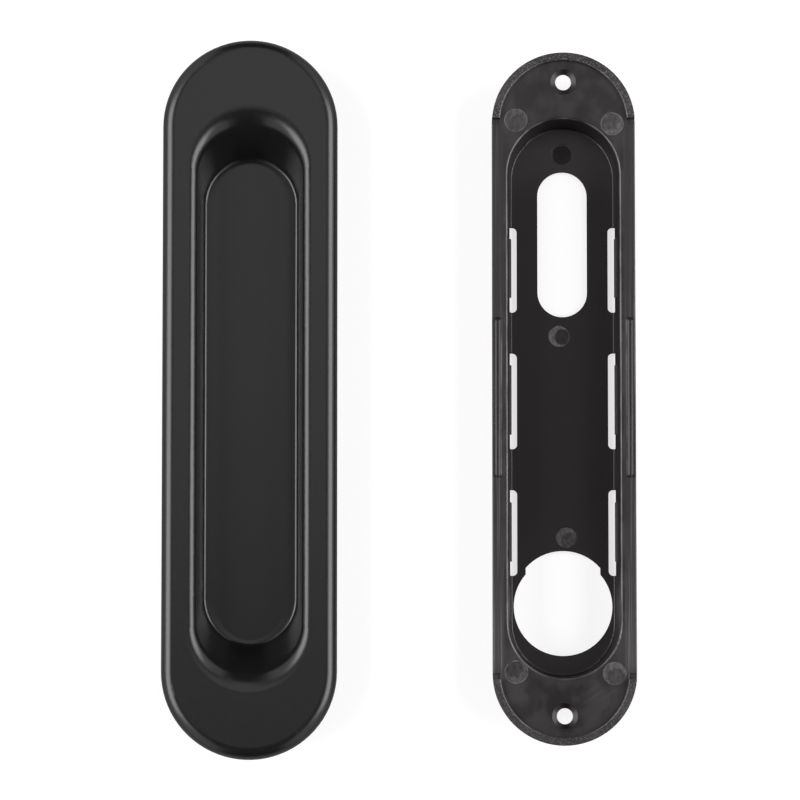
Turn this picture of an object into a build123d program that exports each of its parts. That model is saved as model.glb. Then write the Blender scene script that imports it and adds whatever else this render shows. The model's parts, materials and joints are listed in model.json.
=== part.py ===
from build123d import *

import math
import os

# Flush pull for a sliding door, taken apart: a thin metal cover with a deep finger recess, and the
# moulded base that is screwed into the door and holds the cover by snap catches.
# Millimetres. +Z is up, out of the door's face, and +Y runs along the handle. Both pieces lie face up on
# the surface Z = 0, side by side: the cover on the -X side, the base on the +X side. The origin is the
# middle of the ground under the pair.

# Cover: outside
COVER_LENGTH = 150.0
COVER_WIDTH = 36.4
SHEET = 0.7
RIM_HEIGHT = 3.2
RIM_EDGE_RADIUS = 2.5

# Cover: finger recess
MOUTH_LENGTH = 122.2
MOUTH_WIDTH = 25.5
RECESS_DEPTH = 10.5
SIDE_BORDER = 3.57
END_BORDER = 11.1
SIDE_LIP_RADIUS = 2.0
END_LIP_RADIUS = 5.0
SIDE_HEEL_RADIUS = 0.7
END_HEEL_RADIUS = 1.8
DISH_RADIUS = 18.0
DISH_ANGLE = math.radians(8.0)

# Base: flange
FLANGE_LENGTH = 144.2
FLANGE_WIDTH = 29.8
FLANGE_THICKNESS = 1.2
FLANGE_EDGE_RADIUS = 0.25
END_RIM_WIDTH = 1.6
END_RIM_HEIGHT = 0.9
END_POCKET_LENGTH = 1.2
END_POCKET_DEPTH = 0.5
CHANNEL_LENGTH = 33.4
CHANNEL_WIDTH = 1.7
CHANNEL_DEPTH = 0.55
CHANNEL_TO_EDGE = 0.3

# Base: cup
CUP_SIDE_PLAY = 0.25
CUP_END_PLAY = 0.3
CUP_DRAFT = math.radians(5.2)
CUP_WALL = 1.2
CUP_FLOOR = 1.3
CUP_MOUTH_RADIUS = 0.4
CUP_CORNER_RADIUS = 0.4
CUP_FOOT_RADIUS = 0.8

# Base: openings in the floor of the cup
OBLONG_WIDTH = 10.4
OBLONG_LENGTH = 30.7
OBLONG_Y = 33.0
ROUND_RADIUS = 10.3
ROUND_Y = -43.0
RELIEF_SHIFT = 1.35
RELIEF_WIDTH = 15.6

# Snap catches of the base, and the lugs of the cover that they hold
CATCH_SPACING = 27.6
MIDDLE_CATCH_LENGTH = 14.5
OUTER_CATCH_LENGTH = 12.3
SLOT_OVERLENGTH = 5.7
SLOT_WIDTH = 1.56
SLOT_CORNER_RADIUS = 1.0
CATCH_LEVEL = 2.6
CATCH_HEIGHT = 1.6
CATCH_PLAY = 0.03
LUG_REACH = 0.35
LUG_HEIGHT = 1.4
LUG_PLAY = 0.3

# Screws and the round marks of the mould's ejector pins
SCREW_SPACING = 132.0
SCREW_HOLE_RADIUS = 1.65
SINK_RADIUS = 2.65
SINK_DEPTH = 0.6
FLANGE_MARK_RADIUS = 2.4
FLANGE_MARKS = [(-9.9, 58.0), (10.2, 57.2), (-10.0, -56.9), (10.3, -57.2)]
FLOOR_MARK_RADIUS = 2.3
FLOOR_MARKS = [(0.0, 51.9), (-0.7, 13.6), (0.7, -28.6)]
MARK_DEPTH = 0.15

# Space between the two pieces as they lie
GAP_BETWEEN = 32.15

# Steps in which the recess is lofted: round its lip, down its slope, round its heel and over its dish
LIP_STEPS = 7
SLOPE_STEPS = 4
HEEL_STEPS = 8
DISH_STEPS = 4

# How far a cutting shape runs past what it cuts
CUT_PAST = 1.0


class WallProfile:
    """Section of a recess wall, from the face down over a rounded lip, along a straight slope and round a
    heel into a shallow dish that runs out into the flat floor.

    run is how far the wall comes in from the mouth to the flat floor, and drop how far it goes down.
    """

    def __init__(self, run, drop, lip, heel, dish, dish_angle):
        self.run = run
        self.drop = drop
        self.lip = lip
        self.heel = heel
        self.dish = dish
        self.dish_angle = dish_angle
        self.heel_in = run - (dish - heel) * math.sin(dish_angle)
        self.heel_down = drop - dish + (dish - heel) * math.cos(dish_angle)
        reach = math.hypot(self.heel_in, self.heel_down - lip)
        self.slope = math.atan2(self.heel_down - lip, self.heel_in) + math.asin((lip + heel) / reach)

    def behind(self, thickness):
        """The same wall's other side, one thickness away. Its own depths start one thickness lower."""
        return WallProfile(
            self.run, self.drop, self.lip - thickness, self.heel + thickness,
            self.dish + thickness, self.dish_angle,
        )

    def inset(self, depth):
        """How far the wall has come in from the mouth at this depth."""
        above_floor = self.drop - depth
        if above_floor <= self.dish * (1 - math.cos(self.dish_angle)):
            return self.run - math.sqrt(self.dish**2 - (self.dish - above_floor) ** 2)
        if depth >= self.heel_down + self.heel * math.cos(self.slope):
            return self.heel_in - math.sqrt(self.heel**2 - (depth - self.heel_down) ** 2)
        lip_depth = self.lip * (1 - math.cos(self.slope))
        if depth >= lip_depth:
            return self.lip * math.sin(self.slope) + (depth - lip_depth) / math.tan(self.slope)
        return math.sqrt(self.lip**2 - (self.lip - depth) ** 2)


def pill(width, length):
    """A pill-shaped outline with its long axis along Y."""
    return SlotOverall(length, width, rotation=90)


def pill_block(width, length, bottom, top):
    return extrude(Pos(0, 0, bottom) * pill(width, length), top - bottom)


def tapered_pill(width, length, spread, bottom, top):
    """A pill block that is `spread` wider on each side at the top than at the bottom."""
    low = Pos(0, 0, bottom) * pill(width, length)
    high = Pos(0, 0, top) * pill(width + 2 * spread, length + 2 * spread)
    return loft([low, high], ruled=True)


# The recess walls: steep at the sides, sloping at the ends
side_run = SIDE_BORDER + (DISH_RADIUS - SIDE_HEEL_RADIUS) * math.sin(DISH_ANGLE)
side_wall = WallProfile(
    side_run, RECESS_DEPTH, SIDE_LIP_RADIUS, SIDE_HEEL_RADIUS, DISH_RADIUS, DISH_ANGLE
)
end_wall = WallProfile(
    END_BORDER, RECESS_DEPTH, END_LIP_RADIUS, END_HEEL_RADIUS, END_HEEL_RADIUS, 0.0
)
side_back = side_wall.behind(SHEET)
end_back = end_wall.behind(SHEET)


def even_steps(count):
    """The fractions from 0 to 1 in this many equal steps."""
    return [step / count for step in range(count + 1)]


def loft_outlines(side, end, top, depths):
    """A solid lofted through the recess's outlines at these depths below `top`."""
    outlines = []
    for depth in depths:
        width = MOUTH_WIDTH - 2 * side.inset(depth)
        length = MOUTH_LENGTH - 2 * end.inset(depth)
        outlines.append(Pos(0, 0, top - depth) * pill(width, length))
    return loft(outlines)


def recess_skin(side, end, top):
    """One skin of the finger recess as a solid: the walls with their lip and heel, then the floor's dish.

    The outlines are close together wherever the wall is round.
    """
    lip_depths = [end.lip * (1 - math.cos(end.slope * part)) for part in even_steps(LIP_STEPS)]
    heel_turn = side.slope - side.dish_angle
    heel_angles = [side.slope - heel_turn * part for part in even_steps(HEEL_STEPS)]
    heel_depths = [side.heel_down + side.heel * math.cos(angle) for angle in heel_angles]
    slope_height = heel_depths[0] - lip_depths[-1]
    slope_depths = [lip_depths[-1] + slope_height * part for part in even_steps(SLOPE_STEPS)]
    dish_height = side.drop - heel_depths[-1]
    dish_depths = [side.drop - dish_height * part**2 for part in reversed(even_steps(DISH_STEPS))]
    walls = loft_outlines(side, end, top, lip_depths + slope_depths[1:-1] + heel_depths)
    return walls + loft_outlines(side, end, top, dish_depths)


def back_half_width(level):
    """Half the width over the outside of the recess, at this level above its back."""
    return MOUTH_WIDTH / 2 - side_back.inset(RECESS_DEPTH - level)


def bar_along_y(points, length, y):
    """A bar along Y, centred at y, with the section given by its corners in X and Z."""
    section = make_face(Polyline(*[(x, 0, z) for x, z in points], close=True))
    return extrude(Pos(0, y, 0) * section, length / 2, dir=(0, 1, 0), both=True)


def both_sides(solid):
    return [solid, mirror(solid, about=Plane.YZ)]


# Places of the catches along the handle, with their lengths
CATCHES = [
    (-CATCH_SPACING, OUTER_CATCH_LENGTH),
    (0.0, MIDDLE_CATCH_LENGTH),
    (CATCH_SPACING, OUTER_CATCH_LENGTH),
]


def make_lugs():
    """Six lugs on the outside of the recess: flat on top, where a catch holds them, and running down into
    the wall."""
    level = CATCH_LEVEL - LUG_PLAY
    foot = level - LUG_HEIGHT
    section = [
        (back_half_width(level) - SHEET / 2, level),
        (back_half_width(level) + LUG_REACH, level),
        (back_half_width(foot), foot),
        (back_half_width(foot) - SHEET / 2, foot),
    ]
    lugs = []
    for y, length in CATCHES:
        lugs += both_sides(bar_along_y(section, length, y))
    return lugs


def make_cover():
    """The cover: a rim with a turned-down edge, hollow underneath, and the finger recess."""
    face = RECESS_DEPTH + SHEET
    skirt = face - RIM_HEIGHT
    outside = pill_block(COVER_WIDTH, COVER_LENGTH, skirt, face)
    outside = fillet(outside.faces().sort_by(Axis.Z)[-1].edges(), RIM_EDGE_RADIUS)
    hollow = pill_block(COVER_WIDTH - 2 * SHEET, COVER_LENGTH - 2 * SHEET, skirt, face - SHEET)
    hollow = fillet(hollow.faces().sort_by(Axis.Z)[-1].edges(), RIM_EDGE_RADIUS - SHEET)
    cover = outside - hollow
    cover += recess_skin(side_back, end_back, face - SHEET)
    cover += make_lugs()
    return cover - recess_skin(side_wall, end_wall, face)


# The base's cup follows the outside of the cover's recess, which lies in it when the cover is on
flange_below_face = RIM_HEIGHT - FLANGE_THICKNESS
cup_depth = RECESS_DEPTH + SHEET - flange_below_face
flange_top = CUP_FLOOR + cup_depth
cup_spread = cup_depth * math.tan(CUP_DRAFT)
recess_width_in_flange = MOUTH_WIDTH - 2 * side_back.inset(flange_below_face - SHEET)
recess_length_in_flange = MOUTH_LENGTH - 2 * end_back.inset(flange_below_face - SHEET)
cup_width = recess_width_in_flange + 2 * CUP_SIDE_PLAY
cup_length = recess_length_in_flange + 2 * CUP_END_PLAY
cup_floor_width = cup_width - 2 * cup_spread
cup_floor_length = cup_length - 2 * cup_spread
catch_z = CUP_FLOOR + CATCH_LEVEL
catch_x = back_half_width(CATCH_LEVEL) + CATCH_PLAY
slot_outside = back_half_width(CATCH_LEVEL) + LUG_REACH + CATCH_PLAY


def cup_half_width(z):
    """Half the width inside the cup at this height."""
    return cup_floor_width / 2 + (z - CUP_FLOOR) * math.tan(CUP_DRAFT)


def make_shell():
    """The flange and the cup under it, with no openings yet."""
    flange = pill_block(FLANGE_WIDTH, FLANGE_LENGTH, flange_top - FLANGE_THICKNESS, flange_top)
    flange = fillet(flange.faces().sort_by(Axis.Z)[-1].edges(), FLANGE_EDGE_RADIUS)
    foot_width = cup_floor_width + 2 * CUP_WALL
    foot_length = cup_floor_length + 2 * CUP_WALL
    cup = tapered_pill(foot_width, foot_length, cup_spread, 0, flange_top)
    cup = fillet(cup.faces().sort_by(Axis.Z)[0].edges(), CUP_FOOT_RADIUS)
    room = tapered_pill(cup_floor_width, cup_floor_length, cup_spread, CUP_FLOOR, flange_top)
    room = fillet(room.faces().sort_by(Axis.Z)[0].edges(), CUP_CORNER_RADIUS)
    shell = flange + cup - room
    mouth = shell.faces().sort_by(Axis.Z)[-1].inner_wires()[0]
    return fillet(mouth.edges(), CUP_MOUTH_RADIUS)


def make_end_rims():
    """The raised rims round both ends of the flange, and the small pocket at each end of each rim."""
    inside = pill(FLANGE_WIDTH - 2 * END_RIM_WIDTH, FLANGE_LENGTH - 2 * END_RIM_WIDTH)
    band = pill(FLANGE_WIDTH, FLANGE_LENGTH) - inside
    across = FLANGE_WIDTH + 2 * CUT_PAST
    straight = FLANGE_LENGTH - FLANGE_WIDTH
    between_rims = Rectangle(across, straight + 2 * END_POCKET_LENGTH)
    rim_foot = flange_top - FLANGE_EDGE_RADIUS
    rim_plan = Pos(0, 0, rim_foot) * (band - between_rims)
    rims = extrude(rim_plan, flange_top + END_RIM_HEIGHT - rim_foot)
    pocket_plan = (band & between_rims) - Rectangle(across, straight)
    pockets = extrude(Pos(0, 0, flange_top - END_POCKET_DEPTH) * pocket_plan, END_POCKET_DEPTH + CUT_PAST)
    return rims, pockets


def make_channel():
    """A round-ended channel milled along the flange's margin: a round bar with ball ends, part sunk."""
    radius = (CHANNEL_WIDTH**2 / 4 + CHANNEL_DEPTH**2) / (2 * CHANNEL_DEPTH)
    straight = CHANNEL_LENGTH - CHANNEL_WIDTH
    x = FLANGE_WIDTH / 2 - CHANNEL_TO_EDGE - CHANNEL_WIDTH / 2
    z = flange_top - CHANNEL_DEPTH + radius
    bar = Pos(x, 0, z) * Rot(X=90) * Cylinder(radius, straight)
    ends = [Pos(x, side * straight / 2, z) * Sphere(radius) for side in (-1, 1)]
    return bar + ends


def make_screw_hole():
    """A through hole with a cone-shaped sink."""
    hole = Cylinder(SCREW_HOLE_RADIUS, 2 * (FLANGE_THICKNESS + CUT_PAST))
    return hole + Pos(0, 0, -SINK_DEPTH / 2) * Cone(SCREW_HOLE_RADIUS, SINK_RADIUS, SINK_DEPTH)


def make_marks(places, radius, level):
    """The shallow flat discs that the mould's ejector pins leave in a surface at this level."""
    return [Pos(x, y, level) * Cylinder(radius, 2 * MARK_DEPTH) for x, y in places]


def make_floor_openings():
    """The oblong and the round opening in the cup's floor. The round one has a second circle, a little
    further in and cut off at both sides, so that it is longer than it is wide."""
    oblong = Pos(0, OBLONG_Y, -CUT_PAST) * pill(OBLONG_WIDTH, OBLONG_LENGTH)
    relief = Pos(0, RELIEF_SHIFT) * Circle(ROUND_RADIUS)
    relief &= Pos(0, ROUND_RADIUS) * Rectangle(RELIEF_WIDTH, 2 * ROUND_RADIUS)
    rounded = Pos(0, ROUND_Y, -CUT_PAST) * (Circle(ROUND_RADIUS) + relief)
    return [extrude(outline, CUP_FLOOR + 2 * CUT_PAST) for outline in (oblong, rounded)]


def make_slots():
    """The six slots at the foot of the side walls, cut up to the undersides of the catches."""
    inside = slot_outside - SLOT_WIDTH
    slots = []
    for y, length in CATCHES:
        slot_length = length + SLOT_OVERLENGTH
        plan = Pos(inside + SLOT_WIDTH / 2, y) * Rectangle(SLOT_WIDTH, slot_length)
        plan = fillet(plan.vertices().group_by(Axis.X)[0], SLOT_CORNER_RADIUS)
        slots += both_sides(extrude(Pos(0, 0, -CUT_PAST) * plan, catch_z + CUT_PAST))
    return slots


def make_catches():
    """The six snap catches: flat underneath, sloping above."""
    top = catch_z + CATCH_HEIGHT
    section = [
        (catch_x, catch_z),
        (cup_half_width(top), top),
        (cup_half_width(top) + CUP_WALL / 2, top),
        (cup_half_width(catch_z) + CUP_WALL / 2, catch_z),
    ]
    catches = []
    for y, length in CATCHES:
        catches += both_sides(bar_along_y(section, length, y))
    return catches


def make_base():
    """The moulded base, with its screw holes, floor openings, snap catches and mould marks."""
    base = make_shell()
    rims, pockets = make_end_rims()
    base = base - pockets + rims
    base -= both_sides(make_channel())
    base -= make_floor_openings()
    base -= make_slots()
    base += make_catches()
    base -= make_marks(FLANGE_MARKS, FLANGE_MARK_RADIUS, flange_top)
    base -= make_marks(FLOOR_MARKS, FLOOR_MARK_RADIUS, CUP_FLOOR)
    base -= [Pos(0, end * SCREW_SPACING / 2, flange_top) * make_screw_hole() for end in (-1, 1)]
    return base


pair_width = COVER_WIDTH + GAP_BETWEEN + FLANGE_WIDTH
cover = Pos((COVER_WIDTH - pair_width) / 2, 0, 0) * make_cover()
base = Pos((pair_width - FLANGE_WIDTH) / 2, 0, 0) * make_base()

os.makedirs("parts", exist_ok=True)
export_step(cover, "parts/cover.step")
export_step(base, "parts/mounting_base.step")
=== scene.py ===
import json
import math

import bpy
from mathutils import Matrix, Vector

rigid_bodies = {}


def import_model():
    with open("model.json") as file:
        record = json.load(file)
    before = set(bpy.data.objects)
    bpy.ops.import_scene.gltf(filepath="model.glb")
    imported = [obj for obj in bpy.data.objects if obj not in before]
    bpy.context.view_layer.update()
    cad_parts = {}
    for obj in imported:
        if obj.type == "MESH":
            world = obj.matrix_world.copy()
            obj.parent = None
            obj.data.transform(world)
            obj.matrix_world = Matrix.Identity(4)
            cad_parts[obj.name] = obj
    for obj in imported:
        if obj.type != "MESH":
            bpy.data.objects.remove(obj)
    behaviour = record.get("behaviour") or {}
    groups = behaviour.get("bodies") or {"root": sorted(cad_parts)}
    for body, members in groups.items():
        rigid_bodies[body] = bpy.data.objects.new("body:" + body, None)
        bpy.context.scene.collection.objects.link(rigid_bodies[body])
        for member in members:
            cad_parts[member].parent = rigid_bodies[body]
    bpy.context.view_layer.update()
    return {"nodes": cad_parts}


# A flush pull for a sliding door, taken apart: its satin black cover lies to the left of its moulded black
# base, both face up on a pale floor, seen from above. Metres throughout.

MM = 0.001

# Camera: nearly straight above, leaning towards the viewer's side
CAMERA_DISTANCE = 1.0
CAMERA_TILT = math.radians(5.0)
CAMERA_AIM = Vector((0.25, -0.35, 8.0)) * MM
FIELD_WIDTH = 166.3 * MM
SENSOR_WIDTH = 36.0

# Light: a long soft box on each side, and dark panels overhead and at both ends. Above the far half the
# panels leave an opening to the white sky, and a net lies at the opening's near edge.
SOFT_BOX_DISTANCE = 0.8
SOFT_BOX_ANGLE = math.radians(51.0)
SOFT_BOX_HEIGHT = 0.52
SOFT_BOX_LENGTH = 0.74
SOFT_BOX_RADIANCE = 5.4
SKY_LIGHT = 0.2
FLAG_HEIGHT = 1.0
FLAG_EDGE_Y = 0.01
FLAG_INNER = 0.21
FLAG_OUTER = 0.42
FLAG_REACH = 1.0
FLAG_SHADE = 0.02
NET_DEPTH = 0.20
NET_CLEARNESS = 0.22

FLOOR_SIZE = 3.0
FLOOR_SHADE = 0.40
FLOOR_GLOW = 0.72

# The base's middle, the middle of its round ends, its end rims' inner edge, its catches and its screw holes
BASE_X = 34.275 * MM
END_MIDDLE = 57.2 * MM
RIM_INSIDE = 13.3 * MM
CATCH_SPACING = 27.6 * MM
MIDDLE_CATCH = 7.25 * MM
OUTER_CATCH = 6.15 * MM
SCREW_Y = 66.0 * MM
SINK_RADIUS = 2.7 * MM
DARK_MARK_Y = 51.9 * MM
DARK_MARK_EDGE = (2.0 * MM, 2.2 * MM)

# Heights between which the base's cup floor ends, its catches start and end, its flange's face starts, the
# rounding at the mouth of its cup ends and the face of its end rims starts
CUP_FLOOR_END = (1.32 * MM, 1.5 * MM)
CATCH_START = (2.4 * MM, 2.6 * MM)
CATCH_END = (4.4 * MM, 7.0 * MM)
FRONT_START = (9.7 * MM, 10.1 * MM)
ROUNDING_END = (10.42 * MM, 10.49 * MM)
RIM_START = (10.8 * MM, 11.0 * MM)

# Distances from the base's middle between which its streaks, channels and outer parts start, to the side,
# and its streaks and channels stop and its ends start, lengthways
STREAKED_FROM = (12.3 * MM, 12.8 * MM)
CHANNEL_FROM = (12.7 * MM, 12.9 * MM)
OUTER_FROM = (1.5 * MM, 11.0 * MM)
ARC_SIDE_FROM = (3.0 * MM, 10.0 * MM)
STREAKED_TO = (54.0 * MM, 60.0 * MM)
CHANNEL_TO = (16.6 * MM, 16.9 * MM)
END_FROM = (52.0 * MM, 58.0 * MM)

# How light the parts of the moulding are, in linear grey; painted highlights, painted light and painted
# shade among them are marked
SMUDGE_TONES = (0.005, 0.018)
SIDE_TONES = (0.009, 0.015)
# painted light: the outer part of the lower end made lighter, more so at the sides
LOWER_END_LIGHT_TONES = (0.006, 0.022)
STREAK_TONE = 0.060
SCRATCH_TONE = 0.045
SPECKLE_TONES = (0.105, 0.070)
# painted highlight: the bright line along the end rims' inner edge
RIM_EDGE_HIGHLIGHT_TONE = 0.22
# painted highlight on the rounding at the cup's mouth, at the ends and at the sides
MOUTH_HIGHLIGHT_TONES = (0.06, 0.17)
CUP_WALL_TONE = 0.012
# partly painted shade: the cup floor, darker than the flange partly for its own finish and partly for the
# shade in the cup
CUP_FLOOR_SHADED_TONE = 0.007
CATCH_TONES = (0.020, 0.075)

# How strongly the parts of the moulding shine
PLAIN_SHINE = 0.5
END_SHINE = 0.40
CHANNEL_SHINE = 0.28
SINK_SHINE = 0.30
CUP_WALL_SHINE = 0.40
CUP_FLOOR_SHINES = (0.28, 0.46)
LOWER_FLOOR_SHINE = 0.45
DARK_MARK_SHINE = 0.20
SHINE_TINT = (1.0, 0.955, 0.97, 1.0)

# Cells per metre of the textures
WAVE_CELLS = (800.0, 800.0, 800.0)
GRAIN_CELLS = (4200.0, 4200.0, 4200.0)
SMUDGE_CELLS = (190.0, 150.0, 90.0)
TINT_CELLS = (260.0, 170.0, 120.0)
SCUFF_CELLS = (1500.0, 900.0, 900.0)
STREAK_CELLS = (3400.0, 30.0, 300.0)
SPECKLE_CELLS = (3000.0, 3000.0, 600.0)
SCRATCH_CELLS = (3600.0, 130.0, 100.0)
GAP_CELLS = (450.0, 160.0, 450.0)
MOTTLE_CELLS = 900.0
PAINT_CELLS = 5200.0

# Ejector marks: place on the base and radius in mm, how light the light part and the dark part of each are,
# how bright the painted highlight on its edge is, and the way to its light part
EJECTOR_MARKS = [
    (-9.9, 58.0, 2.4, 0.045, 0.025, 0.025, 1.9),
    (10.2, 57.2, 2.4, 0.060, 0.035, 0.040, -0.6),
    (-10.0, -56.9, 2.4, 0.044, 0.020, 0.006, -1.0),
    (10.3, -57.2, 2.4, 0.064, 0.030, 0.012, 2.0),
    (0.0, 51.9, 2.2, 0.004, 0.002, 0.030, 4.7),
    (-0.7, 13.6, 2.2, 0.095, 0.012, 0.060, 3.0),
    (0.7, -28.6, 2.2, 0.060, 0.033, 0.020, 2.4),
]


class Graph:
    """A material's or world's node tree, with short calls for adding and joining its nodes."""

    def __init__(self, owner):
        owner.use_nodes = True
        self.tree = owner.node_tree
        self.tree.nodes.clear()

    def add(self, kind, settings=None, **sockets):
        """A node with its settings, and with each named socket given a value or another node's output."""
        node = self.tree.nodes.new(kind)
        for name, value in (settings or {}).items():
            setattr(node, name, value)
        for name, value in sockets.items():
            self.put(node, name.replace("_", " "), value)
        return node

    def put(self, node, socket, value):
        found = node.inputs[int(socket)] if socket.isdigit() else node.inputs[socket]
        if isinstance(value, bpy.types.NodeSocket):
            self.tree.links.new(value, found)
        else:
            found.default_value = value

    def math(self, operation, first, second=0.0, third=0.0):
        node = self.tree.nodes.new("ShaderNodeMath")
        node.operation = operation
        for index, value in enumerate((first, second, third)):
            self.put(node, str(index), value)
        return node.outputs[0]

    def rise(self, value, low, high):
        """0 up to low and 1 from high on, with a smooth rise between."""
        smooth = {"interpolation_type": "SMOOTHSTEP"}
        node = self.add("ShaderNodeMapRange", smooth, Value=value, From_Min=low, From_Max=high)
        return node.outputs["Result"]

    def fall(self, value, low, high):
        """1 up to low and 0 from high on."""
        return self.math("SUBTRACT", 1.0, self.rise(value, low, high))

    def all_of(self, *masks):
        result = masks[0]
        for mask in masks[1:]:
            result = self.math("MULTIPLY", result, mask)
        return result

    def noise(self, place, stretch, detail=3.0):
        """Noise with a cell count per metre for each direction."""
        spread = self.add("ShaderNodeVectorMath", {"operation": "MULTIPLY"})
        self.put(spread, "0", place)
        self.put(spread, "1", stretch)
        node = self.add("ShaderNodeTexNoise", Vector=spread.outputs[0], Scale=1.0, Detail=detail)
        return node.outputs["Fac"]

    def distance(self, place, centre):
        node = self.add("ShaderNodeVectorMath", {"operation": "DISTANCE"})
        self.put(node, "0", place)
        self.put(node, "1", centre)
        return node.outputs["Value"]

    def blend(self, amount, low, high):
        """low where the amount is 0 and high where it is 1, for colours or numbers."""
        colour = isinstance(low, tuple) or isinstance(high, tuple)
        node = self.tree.nodes.new("ShaderNodeMix")
        node.data_type = "RGBA" if colour else "FLOAT"
        first, second, out = (6, 7, 2) if colour else (2, 3, 0)
        self.put(node, "0", amount)
        self.put(node, str(first), low)
        self.put(node, str(second), high)
        return node.outputs[out]


def grey(value):
    return (value, value, value, 1.0)


def lit_floor():
    """A large pale floor. It glows to the camera, so that it comes out white and keeps a shadow."""
    bpy.ops.mesh.primitive_plane_add(size=FLOOR_SIZE, location=(0, 0, 0))
    floor = bpy.context.object
    floor.name = "floor"
    material = bpy.data.materials.new("pale_floor")
    graph = Graph(material)
    paint = graph.add("ShaderNodeBsdfDiffuse", Color=grey(FLOOR_SHADE))
    glow = graph.add("ShaderNodeEmission", Color=grey(1.0))
    seen = graph.add("ShaderNodeLightPath")
    graph.put(glow, "Strength", graph.math("MULTIPLY", seen.outputs["Is Camera Ray"], FLOOR_GLOW))
    both = graph.add("ShaderNodeAddShader")
    graph.put(both, "0", paint.outputs[0])
    graph.put(both, "1", glow.outputs[0])
    graph.add("ShaderNodeOutputMaterial", Surface=both.outputs[0])
    floor.data.materials.append(material)


def studio_world():
    """White to the eye and in reflections, and a dim even light on the pair."""
    world = bpy.data.worlds.new("studio")
    bpy.context.scene.world = world
    graph = Graph(world)
    seen = graph.add("ShaderNodeLightPath")
    shown = graph.math("MAXIMUM", seen.outputs["Is Camera Ray"], seen.outputs["Is Glossy Ray"])
    shown = graph.math("MAXIMUM", shown, seen.outputs["Is Transmission Ray"])
    strength = graph.blend(shown, SKY_LIGHT, 1.0)
    background = graph.add("ShaderNodeBackground", Color=grey(1.0), Strength=strength)
    graph.add("ShaderNodeOutputWorld", Surface=background.outputs[0])


def soft_box(name, side):
    """A rectangular lamp beside the pair, turned towards it."""
    lamp = bpy.data.lights.new(name, "AREA")
    lamp.shape = "RECTANGLE"
    lamp.size = SOFT_BOX_HEIGHT
    lamp.size_y = SOFT_BOX_LENGTH
    lamp.energy = SOFT_BOX_RADIANCE * math.pi * SOFT_BOX_HEIGHT * SOFT_BOX_LENGTH
    holder = bpy.data.objects.new(name, lamp)
    reach = SOFT_BOX_DISTANCE
    holder.location = (side * reach * math.sin(SOFT_BOX_ANGLE), 0.0, reach * math.cos(SOFT_BOX_ANGLE))
    holder.rotation_euler = (0.0, side * SOFT_BOX_ANGLE, 0.0)
    bpy.context.scene.collection.objects.link(holder)


def panel(name, corners, clearness=0.0):
    """A black panel or net that the pair reflects, and that the camera doesn't see."""
    mesh = bpy.data.meshes.new(name)
    mesh.from_pydata(corners, [], [tuple(range(len(corners)))])
    sheet = bpy.data.objects.new(name, mesh)
    bpy.context.scene.collection.objects.link(sheet)
    material = bpy.data.materials.new(name)
    graph = Graph(material)
    if clearness:
        cloth = graph.add("ShaderNodeBsdfTransparent", Color=grey(clearness))
    else:
        cloth = graph.add("ShaderNodeBsdfDiffuse", Color=grey(FLAG_SHADE))
    graph.add("ShaderNodeOutputMaterial", Surface=cloth.outputs[0])
    mesh.materials.append(material)
    sheet.visible_camera = False
    sheet.visible_shadow = False


def overhead(name, left, right, near, far, clearness=0.0):
    top = FLAG_HEIGHT
    panel(name, [(left, near, top), (right, near, top), (right, far, top), (left, far, top)], clearness)


def upright(name, half, y):
    panel(name, [(-half, y, 0.0), (half, y, 0.0), (half, y, FLAG_HEIGHT), (-half, y, FLAG_HEIGHT)])


def panels():
    reach, inner, outer = FLAG_REACH, FLAG_INNER, FLAG_OUTER
    net_start = FLAG_EDGE_Y - NET_DEPTH
    overhead("overhead_net", -inner, inner, net_start, FLAG_EDGE_Y, NET_CLEARNESS)
    overhead("overhead_panel", -inner, inner, -reach, net_start)
    overhead("left_panel", -outer, -inner, -reach, reach)
    overhead("right_panel", inner, outer, -reach, reach)
    upright("front_panel", outer, -reach)
    upright("back_panel", outer, reach)


def camera():
    lens = bpy.data.cameras.new("camera")
    lens.sensor_width = SENSOR_WIDTH
    lens.lens = SENSOR_WIDTH * CAMERA_DISTANCE / FIELD_WIDTH
    holder = bpy.data.objects.new("camera", lens)
    back = Vector((0.0, -math.sin(CAMERA_TILT), math.cos(CAMERA_TILT)))
    holder.location = CAMERA_AIM + CAMERA_DISTANCE * back
    holder.rotation_euler = (CAMERA_TILT, 0.0, 0.0)
    bpy.context.scene.collection.objects.link(holder)
    bpy.context.scene.camera = holder


def satin_paint():
    """Satin black paint: a fine even grain and a very slight mottle."""
    material = bpy.data.materials.new("satin_black_paint")
    graph = Graph(material)
    place = graph.add("ShaderNodeTexCoord").outputs["Object"]
    mottle = graph.add("ShaderNodeTexNoise", Vector=place, Scale=MOTTLE_CELLS, Detail=4.0).outputs["Fac"]
    grain = graph.add("ShaderNodeTexNoise", Vector=place, Scale=PAINT_CELLS, Detail=3.0).outputs["Fac"]
    bump = graph.add("ShaderNodeBump", Strength=0.10, Distance=0.01 * MM, Height=grain)
    shader = graph.add(
        "ShaderNodeBsdfPrincipled",
        Base_Color=graph.blend(mottle, grey(0.005), grey(0.009)),
        Roughness=graph.blend(mottle, 0.24, 0.28),
        Specular_IOR_Level=0.47,
        Normal=bump.outputs[0],
        IOR=1.5,
    )
    graph.add("ShaderNodeOutputMaterial", Surface=shader.outputs[0])
    return material


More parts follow.
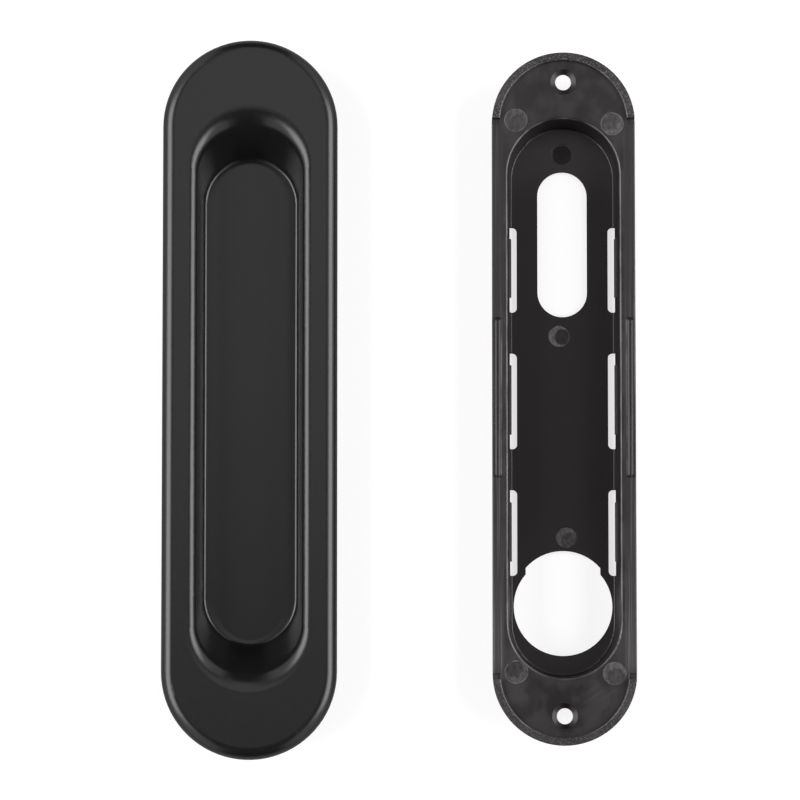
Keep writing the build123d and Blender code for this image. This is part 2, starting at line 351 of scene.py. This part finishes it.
class Moulding:
    """Where a point of the base lies: distances, and masks that are 1 on one feature and 0 elsewhere."""

    def __init__(self, graph, place):
        split = graph.add("ShaderNodeSeparateXYZ", Vector=place)
        surface = graph.add("ShaderNodeNewGeometry")
        facing = graph.add("ShaderNodeSeparateXYZ", Vector=surface.outputs["Normal"])
        height = split.outputs["Z"]
        self.across = graph.math("SUBTRACT", split.outputs["X"], BASE_X)
        self.along = split.outputs["Y"]
        self.aside = graph.math("ABSOLUTE", self.across)
        endways = graph.math("ABSOLUTE", self.along)

        # Its distance from the base's middle line, or at the round ends from their middle
        past_middle = graph.math("MAXIMUM", graph.math("SUBTRACT", endways, END_MIDDLE), 0.0)
        spread = graph.add("ShaderNodeCombineXYZ", X=self.aside, Y=past_middle)
        reach = graph.add("ShaderNodeVectorMath", {"operation": "LENGTH"}, Vector=spread.outputs[0])
        from_middle = reach.outputs["Value"]

        # Its place seen from above, a little shaken, so that the marks' edges waver
        shake = graph.math("MULTIPLY_ADD", graph.noise(place, WAVE_CELLS), 0.5 * MM, -0.25 * MM)
        shaken_x = graph.math("ADD", split.outputs["X"], shake)
        shaken_y = graph.math("SUBTRACT", self.along, shake)
        self.flat = graph.add("ShaderNodeCombineXYZ", X=shaken_x, Y=shaken_y).outputs[0]

        self.upward = graph.rise(facing.outputs["Z"], 0.3, 0.6)
        self.front = graph.rise(height, *FRONT_START)
        self.outward = graph.all_of(self.front, graph.rise(self.aside, *OUTER_FROM))
        self.lower_end = graph.fall(self.along, -54.0 * MM, -18.0 * MM)
        self.upper_end = graph.rise(self.along, 40.0 * MM, 54.0 * MM)
        self.arc_side = graph.rise(self.aside, *ARC_SIDE_FROM)
        self.cup_floor = graph.fall(height, *CUP_FLOOR_END)
        upright = graph.fall(facing.outputs["Z"], 0.2, 0.6)
        self.cup_wall = graph.all_of(graph.fall(height, *FRONT_START), upright)
        self.end_rim = graph.rise(height, *RIM_START)
        # Where the painted highlight along the end rims' inner edge goes, away from the middle of the ends
        near_inside = graph.fall(from_middle, RIM_INSIDE + 0.12 * MM, RIM_INSIDE + 0.28 * MM)
        self.rim_edge = graph.all_of(self.end_rim, near_inside, self.arc_side)
        self.side = graph.all_of(
            self.front, graph.rise(self.aside, *STREAKED_FROM), graph.fall(endways, *STREAKED_TO)
        )
        self.channel = graph.all_of(
            self.front, graph.rise(self.aside, *CHANNEL_FROM), graph.fall(endways, *CHANNEL_TO)
        )
        self.end = graph.all_of(self.front, graph.rise(endways, *END_FROM))
        either_end = graph.add("ShaderNodeCombineXYZ", X=self.aside, Y=endways).outputs[0]
        from_screw = graph.distance(either_end, (0.0, SCREW_Y, 0.0))
        self.sink = graph.all_of(self.front, graph.fall(from_screw, SINK_RADIUS, SINK_RADIUS + 0.1 * MM))
        # Where the painted highlight on the rounding at the cup's mouth goes
        self.mouth_edge = graph.all_of(
            self.front,
            graph.fall(height, *ROUNDING_END),
            graph.fall(from_middle, 13.0 * MM, 13.2 * MM),
            graph.math("SUBTRACT", 1.0, self.sink),
        )
        from_dark_mark = graph.distance(self.flat, (BASE_X, DARK_MARK_Y, 0.0))
        self.dark_mark = graph.all_of(self.upward, graph.fall(from_dark_mark, *DARK_MARK_EDGE))

        from_outer_catch = graph.math("ABSOLUTE", graph.math("SUBTRACT", endways, CATCH_SPACING))
        beside_catch = graph.math(
            "MAXIMUM",
            graph.fall(endways, MIDDLE_CATCH, MIDDLE_CATCH + 0.2 * MM),
            graph.fall(from_outer_catch, OUTER_CATCH, OUTER_CATCH + 0.2 * MM),
        )
        to_outside = graph.math("MULTIPLY", facing.outputs["X"], graph.math("SIGN", self.across))
        self.catches = graph.all_of(
            beside_catch,
            graph.rise(height, *CATCH_START),
            graph.fall(height, *CATCH_END),
            graph.fall(to_outside, 0.3, 0.6),
        )


def scratches(graph, place, base):
    """A patch of slanting scratches at the right of the base's lower end."""
    slanted = graph.add("ShaderNodeVectorRotate", {"rotation_type": "Z_AXIS"}, Vector=place, Angle=0.93)
    return graph.all_of(
        graph.rise(graph.noise(slanted.outputs[0], SCRATCH_CELLS, 4.0), 0.55, 0.75),
        base.end,
        graph.rise(base.across, 3.0 * MM, 5.5 * MM),
        graph.fall(base.along, -60.5 * MM, -58.5 * MM),
    )


def ejector_marks(graph, base, tone, scuff):
    """Adds the round marks to the tone: each has a dark disc, a light crescent and a thin bright edge,
    which is a painted highlight.
    """
    patches = graph.blend(graph.rise(scuff, 0.30, 0.70), 0.55, 1.50)
    for x, y, radius, light, dark, edge_highlight, turn in EJECTOR_MARKS:
        way = Vector((math.cos(turn), math.sin(turn), 0.0))
        middle = Vector((BASE_X + x * MM, y * MM, 0.0))
        from_edge = graph.distance(base.flat, middle)
        from_dark = graph.distance(base.flat, middle - 0.35 * radius * MM * way)
        crescent = graph.rise(from_dark, 0.68 * radius * MM, 0.86 * radius * MM)
        inside = graph.all_of(base.upward, graph.fall(from_edge, (radius - 0.2) * MM, radius * MM))
        highlight_ring = graph.all_of(
            base.upward,
            graph.rise(from_edge, (radius - 0.30) * MM, (radius - 0.12) * MM),
            graph.fall(from_edge, radius * MM, (radius + 0.12) * MM),
        )
        fill = graph.math("MULTIPLY", graph.blend(crescent, dark, light), patches)
        tone = graph.blend(inside, tone, fill)
        # Painted highlight round each mark's edge
        tone = graph.math("MULTIPLY_ADD", graph.all_of(highlight_ring, scuff), edge_highlight, tone)
    return tone


def moulding_tone(graph, place, base, smudge, scuff, speckle):
    """How light the moulding is from place to place, with painted highlights on the end rims' inner edge,
    the cup's mouth and the ejector marks' edges, painted light on the lower end and partly painted shade on
    the cup floor.
    """
    streaks = graph.rise(graph.noise(place, STREAK_CELLS, 4.0), 0.50, 0.72)
    streaks = graph.all_of(streaks, graph.blend(graph.rise(base.along, 8.0 * MM, 30.0 * MM), 1.0, 0.35))
    gaps = graph.rise(graph.noise(place, GAP_CELLS), 0.20, 0.70)

    tone = graph.blend(graph.rise(smudge, 0.40, 0.60), *SMUDGE_TONES)
    tone = graph.blend(base.side, tone, graph.blend(smudge, *SIDE_TONES))
    # Painted light: the outer part of the lower end is made lighter
    lower_end_light = graph.blend(base.side, *LOWER_END_LIGHT_TONES)
    tone = graph.math("MULTIPLY_ADD", graph.all_of(base.outward, base.lower_end), lower_end_light, tone)
    tone = graph.math("MULTIPLY_ADD", graph.all_of(streaks, base.side), STREAK_TONE, tone)
    tone = graph.blend(scratches(graph, place, base), tone, SCRATCH_TONE)
    speckle_tone = graph.blend(base.lower_end, *SPECKLE_TONES)
    tone = graph.blend(graph.all_of(speckle, base.end_rim), tone, speckle_tone)
    # Painted highlight along the end rims' inner edge, brighter towards the sides
    tone = graph.math("MULTIPLY_ADD", graph.all_of(base.rim_edge, scuff, gaps), RIM_EDGE_HIGHLIGHT_TONE, tone)
    # Painted highlight on the rounding at the cup's mouth, brighter at the sides than at the ends
    mouth_highlight_tone = graph.blend(base.arc_side, *MOUTH_HIGHLIGHT_TONES)
    tone = graph.math("MULTIPLY_ADD", graph.all_of(base.mouth_edge, gaps), mouth_highlight_tone, tone)
    tone = graph.blend(base.cup_wall, tone, CUP_WALL_TONE)
    # The cup floor is made darker: partly its own finish, partly painted shade in the cup
    tone = graph.blend(base.cup_floor, tone, CUP_FLOOR_SHADED_TONE)
    tone = graph.blend(base.catches, tone, graph.blend(scuff, *CATCH_TONES))
    return ejector_marks(graph, base, tone, scuff)


def moulding_colour(graph, place, tone):
    """The tone as a colour: almost grey, a little warm."""
    tint = graph.noise(place, TINT_CELLS, 2.0)
    colour = graph.add(
        "ShaderNodeCombineColor",
        Red=graph.math("MULTIPLY_ADD", tone, graph.blend(tint, 1.0, 1.05), 0.0012),
        Green=tone,
        Blue=graph.math("MULTIPLY", tone, graph.blend(tint, 0.97, 1.03)),
    )
    return colour.outputs[0]


def moulding_shine(graph, base):
    """How strongly the moulding shines from place to place."""
    end_middle = graph.all_of(base.end, graph.fall(base.aside, *OUTER_FROM))
    shine = graph.blend(end_middle, PLAIN_SHINE, END_SHINE)
    shine = graph.blend(base.channel, shine, CHANNEL_SHINE)
    shine = graph.blend(base.sink, shine, SINK_SHINE)
    shine = graph.blend(base.cup_wall, shine, CUP_WALL_SHINE)
    floor_shine = graph.blend(base.upper_end, *CUP_FLOOR_SHINES)
    floor_shine = graph.blend(base.lower_end, floor_shine, LOWER_FLOOR_SHINE)
    return graph.blend(base.cup_floor, shine, graph.blend(base.dark_mark, floor_shine, DARK_MARK_SHINE))


def moulded_plastic():
    """Moulded black plastic: grain, flow streaks down the flange's sides, rough end rims, ejector marks,
    and painted highlights, painted light and painted shade in its tone.
    """
    material = bpy.data.materials.new("moulded_black_plastic")
    graph = Graph(material)
    place = graph.add("ShaderNodeTexCoord").outputs["Object"]
    base = Moulding(graph, place)
    smudge = graph.noise(place, SMUDGE_CELLS, 4.0)
    scuff = graph.noise(place, SCUFF_CELLS, 5.0)
    speckle = graph.rise(graph.noise(place, SPECKLE_CELLS, 5.0), 0.50, 0.70)

    rough = graph.blend(base.end_rim, graph.blend(smudge, 0.28, 0.40), graph.blend(speckle, 0.40, 0.60))
    grain = graph.noise(place, GRAIN_CELLS)
    relief = graph.math("MULTIPLY_ADD", graph.all_of(speckle, base.end_rim), 3.0, grain)
    soft_edges = graph.add("ShaderNodeBevel", {"samples": 4}, Radius=0.12 * MM).outputs[0]
    bump = graph.add("ShaderNodeBump", Strength=0.3, Distance=0.02 * MM, Height=relief, Normal=soft_edges)
    tone = moulding_tone(graph, place, base, smudge, scuff, speckle)
    shader = graph.add(
        "ShaderNodeBsdfPrincipled",
        Base_Color=moulding_colour(graph, place, tone),
        Roughness=rough,
        Specular_IOR_Level=moulding_shine(graph, base),
        Specular_Tint=SHINE_TINT,
        Normal=bump.outputs[0],
        IOR=1.5,
    )
    graph.add("ShaderNodeOutputMaterial", Surface=shader.outputs[0])
    return material


def give(node, material):
    """Puts a material on a CAD node in place of its plain one."""
    for slot in frame["nodes"][node].material_slots:
        slot.material = material


bpy.ops.object.select_all(action="SELECT")
bpy.ops.object.delete()
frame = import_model()

give("cover", satin_paint())
give("mounting_base", moulded_plastic())
lit_floor()
studio_world()
soft_box("left_soft_box", -1)
soft_box("right_soft_box", 1)
panels()
camera()
bpy.context.scene.view_settings.view_transform = "Standard"
